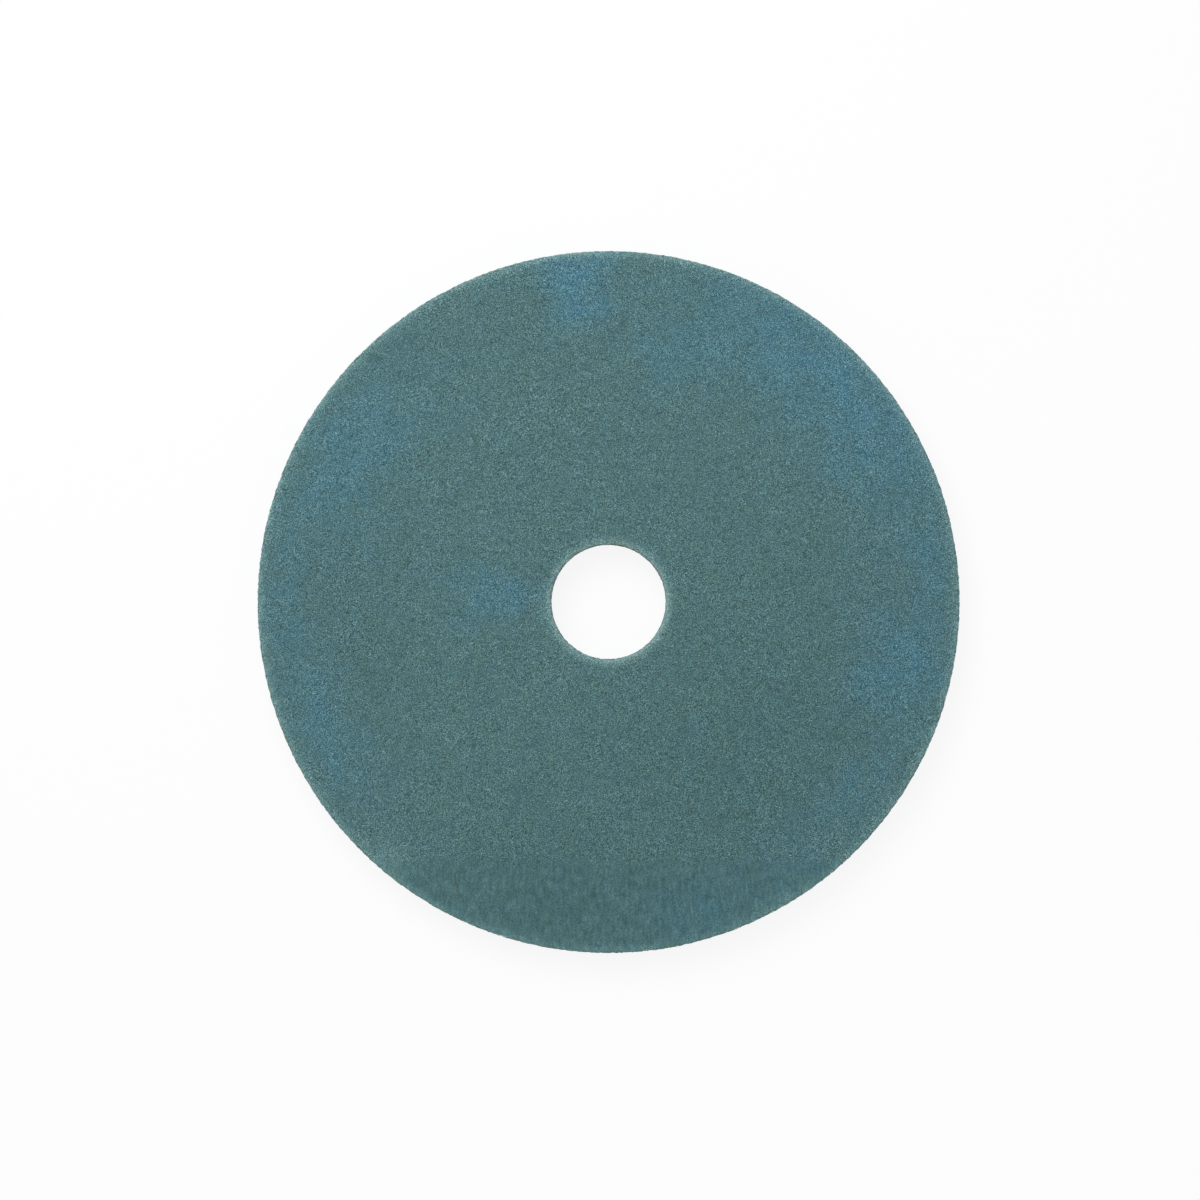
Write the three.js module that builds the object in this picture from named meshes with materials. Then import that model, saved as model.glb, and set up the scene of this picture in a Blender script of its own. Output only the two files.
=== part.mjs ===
// Floor polishing pad: one flat round of nonwoven fibre mat, cut out by a steel-rule die together
// with the hole at its centre. It is a single piece, with no backing, core or fixings.
// Millimetres, +Z up. The origin is the middle of the underside, on the pad's own axis.
import * as THREE from 'three';

// Driving dimensions
const PAD_DIAMETER = 508; // across the outer cut edge, a 20 inch pad
const HOLE_DIAMETER = 82.55; // the 3 1/4 inch hole that centres the pad on its driver plate
const PAD_THICKNESS = 25.4; // the uncompressed mat, 1 inch
const ENTRY_ROUND = 2.4; // rounding of the upper rims, where the die pulls the fibres down
const EXIT_ROUND = 1.2; // rounding of the lower rims, where the die comes through

// Fineness of the curved surfaces
const TURN_STEPS = 144; // flats round the pad
const ROUND_STEPS = 2; // steps in each half of a rim's rounding

// Colour of the bonded fibres, a dull blue-green, and their dry, matt finish
const FIBRE_COLOUR = 0x527477;
const FIBRE_ROUGHNESS = 0.92;

const QUARTER_TURN = Math.PI / 2;

// The mat's cross-section on one side of the axis, as x = distance from the axis and y = height.
// It runs anticlockwise: lower outer rim, upper outer rim, upper hole rim, lower hole rim.
function matSection() {
  const edge = PAD_DIAMETER / 2;
  const bore = HOLE_DIAMETER / 2;
  const rims = [
    { x: edge - EXIT_ROUND, y: EXIT_ROUND, radius: EXIT_ROUND },
    { x: edge - ENTRY_ROUND, y: PAD_THICKNESS - ENTRY_ROUND, radius: ENTRY_ROUND },
    { x: bore + ENTRY_ROUND, y: PAD_THICKNESS - ENTRY_ROUND, radius: ENTRY_ROUND },
    { x: bore + EXIT_ROUND, y: EXIT_ROUND, radius: EXIT_ROUND },
  ];

  const section = new THREE.Path();
  rims.forEach((rim, corner) => {
    const start = (corner - 1) * QUARTER_TURN;
    section.absarc(rim.x, rim.y, rim.radius, start, start + QUARTER_TURN);
  });
  section.closePath();
  return section.getPoints(ROUND_STEPS);
}

// The section turned once round the axis, which is then stood up along Z.
function padMesh() {
  const geometry = new THREE.LatheGeometry(matSection(), TURN_STEPS);
  geometry.rotateX(QUARTER_TURN);
  const fibre = new THREE.MeshStandardMaterial({
    color: FIBRE_COLOUR,
    roughness: FIBRE_ROUGHNESS,
    metalness: 0,
  });
  const mesh = new THREE.Mesh(geometry, fibre);
  mesh.name = 'polishing_pad';
  return mesh;
}

const floorPolishingPad = new THREE.Group();
floorPolishingPad.add(padMesh());

export default floorPolishingPad;
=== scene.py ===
import math

import bpy
import numpy as np
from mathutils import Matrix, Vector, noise


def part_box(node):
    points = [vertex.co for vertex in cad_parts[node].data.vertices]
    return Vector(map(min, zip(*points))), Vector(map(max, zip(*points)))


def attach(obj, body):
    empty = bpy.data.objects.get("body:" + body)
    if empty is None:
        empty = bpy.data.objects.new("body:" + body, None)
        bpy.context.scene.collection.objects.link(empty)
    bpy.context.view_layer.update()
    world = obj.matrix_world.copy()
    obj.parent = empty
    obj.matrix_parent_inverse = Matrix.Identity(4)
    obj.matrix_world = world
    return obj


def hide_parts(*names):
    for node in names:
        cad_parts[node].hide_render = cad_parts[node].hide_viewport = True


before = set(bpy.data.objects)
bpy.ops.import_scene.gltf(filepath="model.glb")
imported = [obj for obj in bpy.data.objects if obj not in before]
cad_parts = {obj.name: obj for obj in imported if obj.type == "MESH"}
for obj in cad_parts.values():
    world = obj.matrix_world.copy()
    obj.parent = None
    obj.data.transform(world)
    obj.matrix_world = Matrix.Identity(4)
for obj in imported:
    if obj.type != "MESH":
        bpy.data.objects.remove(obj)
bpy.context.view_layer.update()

MM = 0.001

# The pad's own sizes, read from its solid
PAD_NODE = "polishing_pad"
low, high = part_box(PAD_NODE)
PAD_RADIUS = (high[0] - low[0]) / 2
PAD_HEIGHT = high[2] - low[2]
HOLE_RADIUS = min(math.hypot(v.co.x, v.co.y) for v in bpy.data.objects[PAD_NODE].data.vertices)
ENTRY_ROUND = 2.4 * MM  # rounding of the upper rims, where the die went in
EXIT_ROUND = 1.2 * MM  # rounding of the lower rims

# How the photograph frames the pad, in its own pixels
PHOTO_SIZE = 1200
PAD_ACROSS_PX = 702.8
PAD_CENTRE_PX = (608.6, 602.0)
CAMERA_ABOVE_FACE = 3.0  # high enough that hardly any of the hole's wall shows

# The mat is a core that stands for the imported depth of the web, under a skin of separate fibres
SKIN = 0.45 * MM  # depth of the skin that the separate fibres fill
RING_PITCH = 4.0 * MM  # between the core's rings, on its faces
SPIN_STEPS = 360
# The unevenness of the web: its name, how wide its lumps are, how high, and which way they rise
LOFT = (("loft", 24 * MM, 0.5 * MM, "Z"), ("tufts", 6 * MM, 0.3 * MM, "NORMAL"))


# Colours and nodes

def linear(hexcode):
    """An sRGB colour such as "#527477" as the linear colour that Blender's sockets take."""
    parts = [int(hexcode[i:i + 2], 16) / 255 for i in (1, 3, 5)]
    return [p / 12.92 if p <= 0.04045 else ((p + 0.055) / 1.055) ** 2.4 for p in parts] + [1.0]


def add(tree, kind, inputs=None, **settings):
    """Adds a node to a tree, with its settings, and each input as a value or the socket that feeds it."""
    node = tree.nodes.new(kind)
    for name, value in settings.items():
        setattr(node, name, value)
    for name, value in (inputs or {}).items():
        socket = node.inputs[name]
        if isinstance(value, bpy.types.NodeSocket):
            tree.links.new(value, socket)
        else:
            socket.default_value = value
    return node


def ramp(tree, factor, stops):
    """A colour ramp through the given (place, sRGB colour) stops."""
    node = add(tree, "ShaderNodeValToRGB", {"Fac": factor})
    elements = node.color_ramp.elements
    while len(elements) < len(stops):
        elements.new(0.5)
    for element, (place, colour) in zip(elements, stops):
        element.position = place
        element.color = linear(colour)
    return node.outputs["Color"]


def new_material(name):
    """A named material with an empty node tree, and that tree."""
    material = bpy.data.materials.new(name)
    material.use_nodes = True
    material.node_tree.nodes.clear()
    return material, material.node_tree


# The mat's colour over its faces

# Places where the blue of the binder shows through the green, as soft clouds:
# bearing from +X in degrees, distance from the axis, half-length round the pad, half-width across
# it (mm), and strength.
BLUE_CLOUDS = {
    "upper right rim": (45, 229, 114, 40, 1.15),
    "inside the upper right rim": (73, 190, 34, 20, 0.75),
    "top spot": (96, 230, 22, 26, 1.25),
    "upper left rim": (150, 214, 66, 32, 0.75),
    "left rim": (182, 233, 120, 16, 0.50),
    "lower left rim": (203, 223, 50, 20, 0.70),
    "foot of the pad": (286, 232, 30, 18, 0.40),
    "lower right rim": (321, 225, 84, 20, 0.52),
    "right rim": (349, 216, 36, 30, 1.10),
    "far right rim": (7, 232, 46, 18, 0.75),
    "beside the hole": (177, 82, 15, 28, 0.90),
}
# Places where the mat is darker, in the same form; at the lower right and the foot it is painted shade
DARK_AND_SHADED_CLOUDS = {
    "lower right": (312, 150, 110, 70, 0.45),
    "foot": (268, 210, 110, 60, 0.40),
    "left": (188, 190, 60, 30, 0.25),
}
# A small place near the lower left rim where the fibres are bleached, in the same form
BLEACHED_SPOT = {"lower left": (229, 243, 14, 9, 0.14)}
# The pale, frayed rims: how far each raises the tone of the mat, which runs from 0 to 1, and over how
# many millimetres that fades to a third, which takes RIM_DEPTH times as many down a cut wall
OUTER_RIM = (0.58, 2.3)
HOLE_RIM = (1.05, 1.9)
RIM_DEPTH = 2
DARK_DROP = 0.10  # how far a dark cloud lowers the tone
MIDDLE_TONE = 0.51  # of the whole mat
# The foot of the upper face has a calm, combed nap, past a straight line across the pad
COMBED_BELOW = -184 * MM
COMBED_FULLY = -192 * MM
COMBED_GRAIN = 0.32  # contrast that the combed nap keeps
NAP_MOTTLE = 0.10  # how far the tone of the combed nap wanders
NAP_STREAKS = 0.55  # contrast of the streaks that combing leaves in it
STREAK_SIZE = (2.4 * MM, 9 * MM, 5 * MM)  # of one streak, upright on the face
# Hue, from a slightly brown green at 0 to a greyish blue at 1
PLAIN_HUE = 0.15
CLOUD_HUE = 0.55  # what a blue cloud of strength 1 adds
HUE_MOTTLE = 0.14  # how far it wanders from place to place
# The random fields behind all this: the size of a field's lumps, and the slice of the noise that it
# is taken from. The slices lie apart, so that no two fields are alike.
CLOUD_LUMPS = (12 * MM, 4.1)
FINE_HUE_LUMPS = (4 * MM, 2.6)
BROAD_HUE_LUMPS = (9 * MM, 5.2)
NAP_LUMPS = (5 * MM, 9.4)
CLOUD_PATCHINESS = 0.5  # how far a blue cloud's strength wanders
CLOUD_EDGES = ((30 * MM, 14 * MM), (9 * MM, 6 * MM))  # lumps, and how far they move a cloud's edge
EDGE_SLICES = (1.7, 8.3)  # for moving it along X and along Y


def mottle(x, y, lump, cut):
    """A smooth random field over the mat, from about -1 to 1, with lumps of a given size."""
    return np.array([noise.noise((a / lump, b / lump, cut)) for a, b in zip(x, y)])


def cloud_sum(x, y, clouds):
    """How strongly the clouds cover each point, with coarsely and finely ragged edges."""
    for lump, wander in CLOUD_EDGES:
        moves = [wander * mottle(x, y, lump, cut) for cut in EDGE_SLICES]
        x, y = x + moves[0], y + moves[1]
    radius = np.hypot(x, y)
    total = np.zeros(len(x))
    for bearing, distance, half_length, half_width, strength in clouds.values():
        turn = math.radians(bearing)
        outward = x * math.cos(turn) + y * math.sin(turn)
        sideways = y * math.cos(turn) - x * math.sin(turn)
        angle = np.arctan2(sideways, outward)
        along = angle * distance * MM / (half_length * MM)
        across = (radius - distance * MM) / (half_width * MM)
        total = np.maximum(total, strength * np.exp(-(along ** 4 + across ** 4) ** 0.5))
    return total


def mat_tones(x, y, z):
    """At each point of the mat's surface: how blue it is, how much its place lightens its tone, and how
    much of the grain's contrast it has."""
    radius = np.hypot(x, y)
    from_face = np.minimum(PAD_HEIGHT - z, z) / RIM_DEPTH
    pale = np.zeros(len(x))
    for from_edge, (rise, fade) in ((PAD_RADIUS - radius, OUTER_RIM), (radius - HOLE_RADIUS, HOLE_RIM)):
        pale += rise * np.exp(-np.clip(from_edge + from_face, 0, None) / (fade * MM))
    clouds = cloud_sum(x, y, BLUE_CLOUDS) * (1 + CLOUD_PATCHINESS * mottle(x, y, *CLOUD_LUMPS))
    clouds *= np.clip(1 - 2 * pale, 0, 1)  # the pale rims hide them
    dyed = HUE_MOTTLE * (mottle(x, y, *FINE_HUE_LUMPS) + mottle(x, y, *BROAD_HUE_LUMPS))
    blue = np.clip(PLAIN_HUE + CLOUD_HUE * clouds + dyed, 0, 1)
    nap = combed(y) * (z > PAD_HEIGHT - ENTRY_ROUND)
    # the dark clouds lower the tone, with painted shade at the lower right and the foot
    lighter = pale + cloud_sum(x, y, BLEACHED_SPOT) - DARK_DROP * cloud_sum(x, y, DARK_AND_SHADED_CLOUDS)
    lighter += NAP_MOTTLE * nap * mottle(x, y, *NAP_LUMPS)
    return blue, lighter, 1 - (1 - COMBED_GRAIN) * nap


def combed(y):
    """How far the nap is combed at each y, from 0 to 1."""
    return np.clip((COMBED_BELOW - y) / (COMBED_BELOW - COMBED_FULLY), 0, 1)


# The core of the mat

def select_none():
    bpy.ops.object.select_all(action="DESELECT")


def pick(mesh, elements, test):
    """Selects, in the mesh being edited, only the vertices or edges that pass a test of their place."""
    bpy.ops.mesh.select_all(action="DESELECT")
    bpy.ops.object.mode_set(mode="OBJECT")
    for element in getattr(mesh, elements):
        if elements == "vertices":
            element.select = test([element.co])
        else:
            element.select = test([mesh.vertices[i].co for i in element.vertices])
    bpy.ops.object.mode_set(mode="EDIT")


def store(mesh, name, values):
    """Keeps a number for each point of a mesh, for its material or modifier to read."""
    mesh.attributes.new(name, "FLOAT", "POINT").data.foreach_set("value", values.astype(np.float32))


def mat_core():
    """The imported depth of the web: the mat's section, drawn once and spun round the pad's axis."""
    bore, edge = HOLE_RADIUS + SKIN, PAD_RADIUS - SKIN
    base, top = SKIN, PAD_HEIGHT - SKIN
    middle = ((bore + edge) / 2, 0, (base + top) / 2)
    select_none()
    bpy.ops.mesh.primitive_plane_add(size=1, location=middle, rotation=(math.pi / 2, 0, 0))
    core = bpy.context.object
    core.name = "mat_core"
    bpy.ops.transform.resize(value=(edge - bore, 1, top - base))
    bpy.ops.object.transform_apply(location=True, rotation=True, scale=True)
    mesh = core.data
    bpy.ops.object.mode_set(mode="EDIT")

    bpy.ops.mesh.select_mode(type="VERT")
    for level, rounding in ((top, ENTRY_ROUND), (base, EXIT_ROUND)):
        pick(mesh, "vertices", lambda places: abs(places[0].z - level) < 0.01 * MM)
        bpy.ops.mesh.bevel(offset=rounding, segments=4, affect="VERTICES")
    bpy.ops.mesh.select_all(action="SELECT")
    bpy.ops.mesh.delete(type="ONLY_FACE")
    bpy.ops.mesh.select_mode(type="EDGE")
    for axis, span in ((0, edge - bore), (2, top - base)):
        pick(mesh, "edges", lambda places: abs(places[0][axis] - places[1][axis]) > 0.5 * span)
        bpy.ops.mesh.subdivide(number_cuts=round(span / RING_PITCH) - 1)
    bpy.ops.mesh.select_all(action="SELECT")
    bpy.ops.mesh.spin(steps=SPIN_STEPS, angle=2 * math.pi, center=(0, 0, 0), axis=(0, 0, 1))
    bpy.ops.mesh.select_all(action="SELECT")
    bpy.ops.mesh.normals_make_consistent(inside=False)
    bpy.ops.object.mode_set(mode="OBJECT")

    for name, lump, height, way in LOFT:
        texture = bpy.data.textures.new(name, "CLOUDS")
        texture.noise_scale = lump
        swell = core.modifiers.new(name, "DISPLACE")
        swell.texture = texture
        swell.strength = height
        swell.direction = way
        bpy.ops.object.modifier_apply(modifier=swell.name)
    bpy.ops.object.shade_smooth()

    places = np.empty(3 * len(mesh.vertices))
    mesh.vertices.foreach_get("co", places)
    places = places.reshape(-1, 3)
    for name, values in zip(("blue", "lighter", "grain"), mat_tones(*places.T)):
        store(mesh, name, values)
    return core


# Separate fibres

PATH_SAMPLES = 25  # points of a fibre's centre line while it is drawn
SHORTEST_RUN = PATH_SAMPLES // 5  # what the die leaves of a fibre falls out if it is shorter
DIE_TRIM = (-0.2, 0.5)  # mm from a cut edge at which the fibres on a face end
CRIMP = 9 * MM  # length of a wave in a fibre
FACE_BEND = 0.9  # how far a fibre on a face turns from its heading, in radians
WALL_BEND = 0.5  # and one in a cut wall
LAID_SPREAD = 0.35  # how far combed fibres and those in a wall stray from their common heading
ROOTED = 0.5 * MM  # how deep in the core a fibre's ends lie
DEPTH_SHADING = 0.12  # painted shade: how much darker a fibre is at that depth than at the core's surface
BEADS = 0.14  # how much the tone wanders along a fibre
# Painted shading: a fibre's side that faces up is lighter, and one that faces down darker
# A fibre's three sides get slightly different tones, and the limits keep those on the map of tones
SIDE_PAINTED_SHADING, SHADE_LIMITS = 0.05, (0.06, 0.94)
SIDE_BLUE, BLUE_LIMITS = 0.03, (0.04, 0.96)


# The layers of separate fibres: each fibre's thickness, how far its middle stands off the core and
# its length, in mm, and the middle and spread of its tone. Short thick ones give the grain that
# shows from above, and long thin ones lie loose over them.
# The deep layers' tones are set lower than the loose ones': painted shade of their depth.
UPPER_WEB = {
    "upper_web_deep": dict(seed=11, count=13500, points=3, width=(0.50, 0.80), lift=(-0.10, 0.10),
                           length=(1.9, 3.3), shade=(0.45, 0.10)),
    "upper_web_middle": dict(seed=12, count=13500, points=3, width=(0.45, 0.72), lift=(0.05, 0.25),
                             length=(1.9, 3.3), shade=(0.52, 0.10)),
    "upper_web_loose": dict(seed=13, count=5500, points=5, width=(0.28, 0.42), lift=(0.25, 0.45),
                            length=(6, 12), shade=(0.52, 0.11)),
}
LOWER_WEB = {
    "lower_web_deep": dict(seed=21, count=10000, points=3, width=(0.60, 0.90), lift=(-0.15, 0.00),
                           length=(2.5, 5.0), shade=(0.44, 0.24)),
    "lower_web_loose": dict(seed=22, count=4000, points=5, width=(0.30, 0.50), lift=(0.00, 0.20),
                            length=(6, 12), shade=(0.52, 0.18)),
}
EDGE_WEB = dict(seed=31, count=4200, points=4, width=(0.35, 0.60), lift=(0.10, 0.25),
                length=(3, 8), shade=(0.44, 0.20))
HOLE_WEB = dict(seed=32, count=800, points=4, width=(0.35, 0.50), lift=(0.10, 0.25),
                length=(3, 6), shade=(0.42, 0.20))


def crimped_lines(rng, x, y, heading, length, bend):
    """Flat centre lines of fibres through the points (x, y): each curls one way and waves about it."""
    count = len(x)
    along = np.linspace(-0.5, 0.5, PATH_SAMPLES) * length[:, None]
    curl = rng.normal(0, bend, (count, 1)) * along / length[:, None]
    wave = 0.5 * bend * np.sin(2 * np.pi * along / CRIMP + rng.uniform(0, 2 * np.pi, (count, 1)))
    turn = heading[:, None] + curl + wave
    step = length[:, None] / (PATH_SAMPLES - 1)
    px, py = np.cumsum(np.cos(turn) * step, 1), np.cumsum(np.sin(turn) * step, 1)
    middle = PATH_SAMPLES // 2
    return x[:, None] + px - px[:, [middle]], y[:, None] + py - py[:, [middle]]


def cut_by_die(inside, points, *lines):
    """Keeps of each line the run round its middle that lies inside, as evenly spaced points."""
    middle = PATH_SAMPLES // 2
    steps = np.arange(PATH_SAMPLES)
    first = np.where(~inside & (steps < middle), steps + 1, 0).max(1)
    last = np.where(~inside & (steps > middle), steps - 1, PATH_SAMPLES - 1).min(1)
    kept = inside[:, middle] & (last - first >= SHORTEST_RUN)
    place = first[:, None] + (last - first)[:, None] * np.linspace(0, 1, points)
    lower = np.clip(place.astype(int), 0, PATH_SAMPLES - 2)
    share = place - lower
    cut = []
    for line in lines:
        at = np.take_along_axis(line, lower, 1)
        after = np.take_along_axis(line, lower + 1, 1)
        cut.append((at + share * (after - at))[kept])
    return kept, cut


def rim_drop(depth, rounding):
    """How far a rounded rim has fallen away at a depth (m) in from the cut edge."""
    short = np.clip(rounding - depth, 0, rounding)
    return rounding - np.sqrt(rounding ** 2 - short ** 2)


def face_fibres(name, upper, seed, count, points, width, lift, length, shade):
    """Fibres on a face of the mat, which arch out of the core and back and end at the cut edges."""
    rng = np.random.default_rng(seed)
    radius = np.sqrt(rng.uniform(HOLE_RADIUS ** 2, PAD_RADIUS ** 2, count))
    bearing = rng.uniform(0, 2 * np.pi, count)
    x, y = radius * np.cos(bearing), radius * np.sin(bearing)
    heading = rng.uniform(0, 2 * np.pi, count)
    if upper:
        upright = rng.normal(np.pi / 2, LAID_SPREAD, count)
        heading = np.where(combed(y) > 0.5, upright, heading)
    lengths = rng.uniform(*length, count) * MM
    x, y = crimped_lines(rng, x, y, heading, lengths, FACE_BEND)
    crest = rng.uniform(*lift, (count, 1)) * MM
    t = np.linspace(0, 1, PATH_SAMPLES)
    rise = np.sin(np.pi * t) * (crest + ROOTED) - ROOTED
    thickness = rng.uniform(*width, (count, 1)) * MM / 2
    trim = rng.uniform(*DIE_TRIM, (count, 1)) * MM
    r = np.hypot(x, y)
    inside = (r < PAD_RADIUS - thickness - trim) & (r > HOLE_RADIUS + thickness + trim)
    kept, (x, y, rise) = cut_by_die(inside, points, x, y, rise)
    r = np.hypot(x, y)
    depth = np.minimum(PAD_RADIUS - r, r - HOLE_RADIUS)
    if upper:
        level = PAD_HEIGHT - SKIN + rise - rim_drop(depth, ENTRY_ROUND)
    else:
        level = SKIN - rise + rim_drop(depth, EXIT_ROUND)
    tone = fibre_tones(rng, shade, rise)
    return fibre_piece(name, x, y, level, thickness[kept], tone)


def wall_fibres(name, radius, outward, seed, count, points, width, lift, length, shade):
    """Fibres in a cut wall: they lie nearly level, as the mat was laid, and follow the wall round."""
    rng = np.random.default_rng(seed)
    around = rng.uniform(0, 2 * np.pi * radius, count)
    up = rng.uniform(0, PAD_HEIGHT, count)
    heading = rng.normal(0, LAID_SPREAD, count) + np.pi * rng.integers(0, 2, count)
    lengths = rng.uniform(*length, count) * MM
    s, z = crimped_lines(rng, around, up, heading, lengths, WALL_BEND)
    t = np.linspace(0, 1, PATH_SAMPLES)
    rise = np.sin(np.pi * t) * (rng.uniform(*lift, (count, 1)) * MM + ROOTED) - ROOTED
    thickness = rng.uniform(*width, (count, 1)) * MM / 2
    inside = (z > thickness) & (z < PAD_HEIGHT - thickness)
    kept, (s, z, rise) = cut_by_die(inside, points, s, z, rise)
    drop = np.maximum(rim_drop(PAD_HEIGHT - z, ENTRY_ROUND), rim_drop(z, EXIT_ROUND))
    r = radius + outward * (rise - SKIN - drop)
    bearing = s / radius
    tone = fibre_tones(rng, shade, rise)
    return fibre_piece(name, r * np.cos(bearing), r * np.sin(bearing), z, thickness[kept], tone)


def fibre_tones(rng, shade, rise):
    """A tone for each point of each fibre: its own, with binder beads on it, and painted shade in depth.
    """
    own = rng.normal(*shade, (len(rise), 1))
    beads = rng.normal(0, BEADS, rise.shape)
    return own + beads + DEPTH_SHADING * (rise / ROOTED).clip(-1, 1)


def fibre_piece(name, x, y, z, thickness, tone):
    """Draws the fibres' centre lines as edges, then gives them thickness with a modifier."""
    count, points = x.shape
    thickness = np.repeat(thickness, points)
    places = np.stack([x, y, z], 2).reshape(-1, 3)
    index = np.arange(count * points).reshape(count, points)
    edges = np.stack([index[:, :-1], index[:, 1:]], 2).reshape(-1, 2)
    mesh = bpy.data.meshes.new(name)
    mesh.from_pydata(places, edges, [])
    piece = bpy.data.objects.new(name, mesh)
    bpy.context.collection.objects.link(piece)
    blue, lighter, grain = mat_tones(*places.T)
    shade = MIDDLE_TONE + (tone.ravel() - MIDDLE_TONE) * grain + lighter
    shade = np.clip(shade, *SHADE_LIMITS)
    blue = np.clip(blue, *BLUE_LIMITS)
    for label, values in (("thickness", thickness), ("shade", shade), ("blue", blue)):
        store(mesh, label, values)

    select_none()
    piece.select_set(True)
    bpy.context.view_layer.objects.active = piece
    modifier = piece.modifiers.new("thickness", "NODES")
    modifier.node_group = fibre_thickness()
    bpy.ops.object.modifier_apply(modifier=modifier.name)
    bpy.ops.object.shade_smooth()
    return piece


def fibre_thickness():
    """Turns edges to three-sided fibres, and lays each fibre's UV map on the place of its own tone:
    across the map from dark to light, and up it from green to blue."""
    group = bpy.data.node_groups.get("fibre_thickness")
    if group:
        return group
    group = bpy.data.node_groups.new("fibre_thickness", "GeometryNodeTree")
    group.interface.new_socket("Geometry", in_out="INPUT", socket_type="NodeSocketGeometry")
    group.interface.new_socket("Geometry", in_out="OUTPUT", socket_type="NodeSocketGeometry")
    start = add(group, "NodeGroupInput")

    def reading(name):
        value = add(group, "GeometryNodeInputNamedAttribute", {"Name": name}, data_type="FLOAT")
        return value.outputs["Attribute"]

    lines = add(group, "GeometryNodeMeshToCurve", {"Mesh": start.outputs["Geometry"]})
    section = add(group, "GeometryNodeCurvePrimitiveCircle", {"Resolution": 3, "Radius": 1.0})
    tubes = add(group, "GeometryNodeCurveToMesh", {
        "Curve": lines.outputs["Curve"], "Profile Curve": section.outputs["Curve"],
        "Scale": reading("thickness"), "Fill Caps": True})
    normal = add(group, "GeometryNodeInputNormal")
    facing = add(group, "ShaderNodeSeparateXYZ", {"Vector": normal.outputs["Normal"]})
    # Painted shading: the tone rises on a fibre's upper side and falls on its underside
    lit = {0: facing.outputs["Z"], 1: SIDE_PAINTED_SHADING, 2: reading("shade")}
    hue = {0: facing.outputs["X"], 1: SIDE_BLUE, 2: reading("blue")}
    spot = add(group, "ShaderNodeCombineXYZ", {
        "X": add(group, "ShaderNodeMath", lit, operation="MULTIPLY_ADD").outputs[0],
        "Y": add(group, "ShaderNodeMath", hue, operation="MULTIPLY_ADD").outputs[0]})
    mapped = add(group, "GeometryNodeStoreNamedAttribute", {
        "Geometry": tubes.outputs["Mesh"], "Name": "OFBake", "Value": spot.outputs["Vector"]},
        data_type="FLOAT2", domain="CORNER")
    add(group, "NodeGroupOutput", {"Geometry": mapped.outputs["Geometry"]})
    return group


# Materials

# The tones of the dyed and resin-coated fibre, from deep shadow to bare fibre ends
GREEN_TONES = ((0.0, "#1d2b2d"), (0.30, "#436464"), (0.55, "#5c8281"), (0.80, "#7ea5a2"), (1.0, "#abc7c1"))
BLUE_TONES = ((0.0, "#1c313c"), (0.30, "#3f6c7f"), (0.55, "#568fa3"), (0.80, "#7ab1c3"), (1.0, "#a9ccd6"))


def mix_colour(tree, factor, a, b):
    """Colour a where the factor is 0 and b where it is 1."""
    node = tree.nodes.new("ShaderNodeMix")
    node.data_type = "RGBA"
    sockets = [s for s in node.inputs if s.enabled]
    for socket, value in zip(sockets, (factor, a, b)):
        tree.links.new(value, socket)
    return next(s for s in node.outputs if s.enabled)


def fibre_material():
    """Crimped polyester fibre, dyed through and coated in resin: matt, each of one tone, no two alike."""
    material, tree = new_material("resin_bonded_polyester_fibre")
    place = add(tree, "ShaderNodeUVMap", uv_map="OFBake")
    parts = add(tree, "ShaderNodeSeparateXYZ", {"Vector": place.outputs["UV"]})
    shade, blue = parts.outputs["X"], parts.outputs["Y"]
    colour = mix_colour(tree, blue, ramp(tree, shade, GREEN_TONES), ramp(tree, shade, BLUE_TONES))
    surface = add(tree, "ShaderNodeBsdfPrincipled", {
        "Base Color": colour, "Roughness": 0.8, "Specular IOR Level": 0.3})
    add(tree, "ShaderNodeOutputMaterial", {"Surface": surface.outputs["BSDF"]})
    return material


# The strands of the core are drawn in layers: a layer's heading (radians), about how far apart its
# strands are, and their half-width as a share of the noise that draws them. Real fibres are much
# finer, and these are drawn as coarse as they need to be to show from where the camera stands.
STRAND_LAYERS = ((0.3, 1.2 * MM, 0.12), (1.4, 1.05 * MM, 0.13), (2.5, 0.9 * MM, 0.14))
STRAND_STRETCH = 2.2  # strands lie flat, so they pass each other closer in depth
STRAND_SHARE = 0.23  # of the core's tone that its strands make
STRAND_RELIEF = 0.4 * MM
BEAD_SIZE = 0.62 * MM  # beads of binder and grit on the strands
BEAD_SHARE = 1.2  # of the core's tone that they make
STRAND_COVER = 0.6  # middle value of the strands' pattern, and 0.5 is that of a noise


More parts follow.
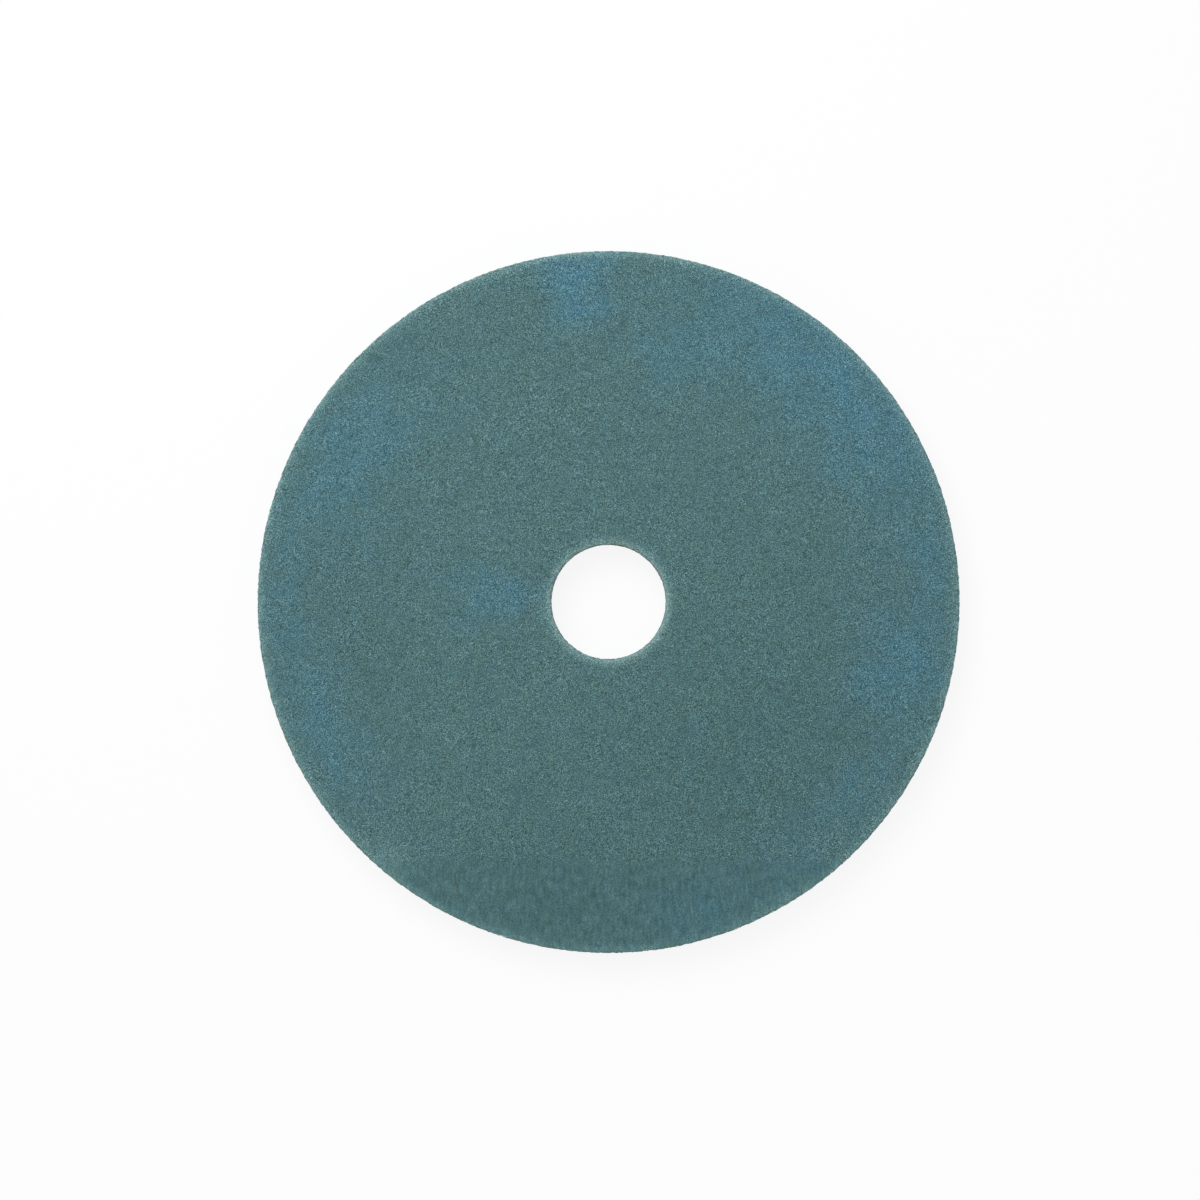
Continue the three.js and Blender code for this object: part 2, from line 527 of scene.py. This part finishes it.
def core_material():
    """Nonwoven web seen in depth: a tangle of fibres as grain, with painted shade in the dark gaps between
    them.
    """
    material, tree = new_material("nonwoven_polyester_web")
    object_place = add(tree, "ShaderNodeTexCoord").outputs["Object"]
    strands = None
    # Each layer's strands run along the level lines of a noise, moved away from the other layers'
    for turn, pitch, width in STRAND_LAYERS:
        laid = add(tree, "ShaderNodeMapping", {
            "Vector": object_place, "Location": (turn, 2 * turn, 3 * turn),
            "Rotation": (0, 0, turn), "Scale": (1, 1, STRAND_STRETCH)})
        field = add(tree, "ShaderNodeTexNoise", {
            "Vector": laid.outputs["Vector"], "Scale": 1 / pitch,
            "Detail": 0.0, "Distortion": 0.6})
        off = add(tree, "ShaderNodeMath", {0: field.outputs["Fac"], 1: 0.5}, operation="SUBTRACT")
        away = add(tree, "ShaderNodeMath", {0: off.outputs[0]}, operation="ABSOLUTE")
        line = add(tree, "ShaderNodeMapRange", {
            "Value": away.outputs[0], "From Min": 0.0, "From Max": width, "To Min": 1.0, "To Max": 0.0})
        if strands is None:
            strands = line.outputs["Result"]
        else:
            either = {0: strands, 1: line.outputs["Result"]}
            strands = add(tree, "ShaderNodeMath", either, operation="MAXIMUM").outputs[0]

    def reading(name):
        return add(tree, "ShaderNodeAttribute", attribute_name=name).outputs["Fac"]

    # Beads and strands lighten and darken the tone about its middle value
    beads = add(tree, "ShaderNodeTexNoise", {
        "Vector": object_place, "Scale": 1 / BEAD_SIZE, "Detail": 0.0})
    centred = -0.5 * BEAD_SHARE - STRAND_COVER * STRAND_SHARE
    spread = add(tree, "ShaderNodeMath", {0: beads.outputs["Fac"], 1: BEAD_SHARE, 2: centred},
                 operation="MULTIPLY_ADD").outputs[0]
    spread = add(tree, "ShaderNodeMath", {0: strands, 1: STRAND_SHARE, 2: spread},
                 operation="MULTIPLY_ADD").outputs[0]
    shade = add(tree, "ShaderNodeMath", {0: spread, 1: reading("grain"), 2: MIDDLE_TONE},
                operation="MULTIPLY_ADD").outputs[0]
    shade = add(tree, "ShaderNodeMath", {0: shade, 1: reading("lighter")}, operation="ADD").outputs[0]

    # Where the nap is combed, and so has less grain, it has upright streaks instead
    combed_place = add(tree, "ShaderNodeMapping", {
        "Vector": object_place, "Scale": [1 / size for size in STREAK_SIZE]})
    streaks = add(tree, "ShaderNodeTexNoise", {
        "Vector": combed_place.outputs["Vector"], "Scale": 1.0, "Detail": 1.0})
    streaks = add(tree, "ShaderNodeMath", {0: streaks.outputs["Fac"], 1: 0.5}, operation="SUBTRACT")
    calm = add(tree, "ShaderNodeMath", {0: 1.0, 1: reading("grain")}, operation="SUBTRACT")
    calm = add(tree, "ShaderNodeMath", {0: calm.outputs[0], 1: NAP_STREAKS}, operation="MULTIPLY")
    lit = {0: streaks.outputs[0], 1: calm.outputs[0], 2: shade}
    shade = add(tree, "ShaderNodeMath", lit, operation="MULTIPLY_ADD").outputs[0]

    green, greyish_blue = ramp(tree, shade, GREEN_TONES), ramp(tree, shade, BLUE_TONES)
    colour = mix_colour(tree, reading("blue"), green, greyish_blue)
    relief = add(tree, "ShaderNodeBump", {
        "Height": strands, "Strength": 1.0, "Distance": STRAND_RELIEF})
    surface = add(tree, "ShaderNodeBsdfPrincipled", {
        "Base Color": colour, "Roughness": 0.92, "Specular IOR Level": 0.3,
        "Normal": relief.outputs["Normal"]})
    add(tree, "ShaderNodeOutputMaterial", {"Surface": surface.outputs["BSDF"]})
    return material


# Floor, light and camera

FLOOR_SIZE = 60.0
FLOOR_GLOW = 0.88  # how much of the floor shows as plain white, and the rest takes the pad's shadow
SKY_LIGHT = 0.45  # what the world gives to light the pad, where white is 1
BROAD_LIGHT_FROM = (-0.8, 1.2, 2.2)
NEAR_LIGHT_FROM = (-0.45, 0.9, 1.2)


def seen_directly(tree):
    """1 for what the camera sees, directly or in or through a surface, and 0 for light on its way."""
    path = add(tree, "ShaderNodeLightPath")
    seen = path.outputs["Is Camera Ray"]
    for other in ("Is Glossy Ray", "Is Transmission Ray"):
        either = {0: seen, 1: path.outputs[other]}
        seen = add(tree, "ShaderNodeMath", either, operation="MAXIMUM").outputs[0]
    return seen


def pale_floor():
    """A white floor that shows as white, with the pad's own soft shadow on it."""
    select_none()
    bpy.ops.mesh.primitive_plane_add(size=FLOOR_SIZE, location=(0, 0, 0))
    floor = bpy.context.object
    floor.name = "floor"
    material, tree = new_material("white_studio_paper")
    paper = add(tree, "ShaderNodeBsdfDiffuse", {"Color": linear("#f2f2f2")})
    glow = add(tree, "ShaderNodeEmission", {"Color": (1, 1, 1, 1), "Strength": 1.0})
    share = add(tree, "ShaderNodeMath", {0: seen_directly(tree), 1: FLOOR_GLOW}, operation="MULTIPLY")
    both = add(tree, "ShaderNodeMixShader", {
        "Fac": share.outputs[0], 1: paper.outputs[0], 2: glow.outputs[0]})
    add(tree, "ShaderNodeOutputMaterial", {"Surface": both.outputs[0]})
    floor.data.materials.append(material)


def light():
    """An even pale world, a broad light, and a nearer one that falls off across the pad."""
    world = bpy.data.worlds.new("studio")
    world.use_nodes = True
    tree = world.node_tree
    tree.nodes.clear()
    level = add(tree, "ShaderNodeMapRange", {
        "Value": seen_directly(tree), "To Min": SKY_LIGHT, "To Max": 1.0})
    sky = add(tree, "ShaderNodeBackground", {"Color": (1, 1, 1, 1), "Strength": level.outputs["Result"]})
    add(tree, "ShaderNodeOutputWorld", {"Surface": sky.outputs[0]})
    bpy.context.scene.world = world

    # Both come from the photograph's upper left, and the pad is lightest there
    broad = bpy.data.lights.new("broad_light", "SUN")
    broad.energy = 1.15
    broad.angle = math.radians(60)
    near = bpy.data.lights.new("near_softbox", "AREA")
    near.shape = "DISK"
    near.size = 1.0
    near.energy = 9
    for lamp, place in ((broad, BROAD_LIGHT_FROM), (near, NEAR_LIGHT_FROM)):
        stand = bpy.data.objects.new(lamp.name, lamp)
        stand.location = place
        stand.rotation_euler = (-stand.location).to_track_quat("-Z", "Y").to_euler()
        bpy.context.collection.objects.link(stand)


def camera():
    """Straight above the pad, at the distance and offset that frame it as the photograph does."""
    px = 2 * PAD_RADIUS / PAD_ACROSS_PX  # metres to a pixel, at the pad's upper rim
    lens = bpy.data.cameras.new("camera")
    lens.lens = lens.sensor_width * CAMERA_ABOVE_FACE / (PHOTO_SIZE * px)
    view = bpy.data.objects.new("camera", lens)
    view.location = (
        (PHOTO_SIZE / 2 - PAD_CENTRE_PX[0]) * px,
        (PAD_CENTRE_PX[1] - PHOTO_SIZE / 2) * px,
        PAD_HEIGHT - ENTRY_ROUND + CAMERA_ABOVE_FACE,
    )
    bpy.context.collection.objects.link(view)
    bpy.context.scene.camera = view


def finish_piece(piece, material):
    """Gives a piece its material, and its place in the frame."""
    piece.data.materials.clear()
    piece.data.materials.append(material)
    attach(piece, "root")
    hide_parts(PAD_NODE)


bpy.context.scene.view_settings.view_transform = "Standard"
camera()
light()
pale_floor()

core = mat_core()
finish_piece(core, core_material())

fibre = fibre_material()
for name, layer in UPPER_WEB.items():
    finish_piece(face_fibres(name, True, **layer), fibre)
for name, layer in LOWER_WEB.items():
    finish_piece(face_fibres(name, False, **layer), fibre)
finish_piece(wall_fibres("edge_web", PAD_RADIUS, 1, **EDGE_WEB), fibre)
finish_piece(wall_fibres("hole_web", HOLE_RADIUS, -1, **HOLE_WEB), fibre)
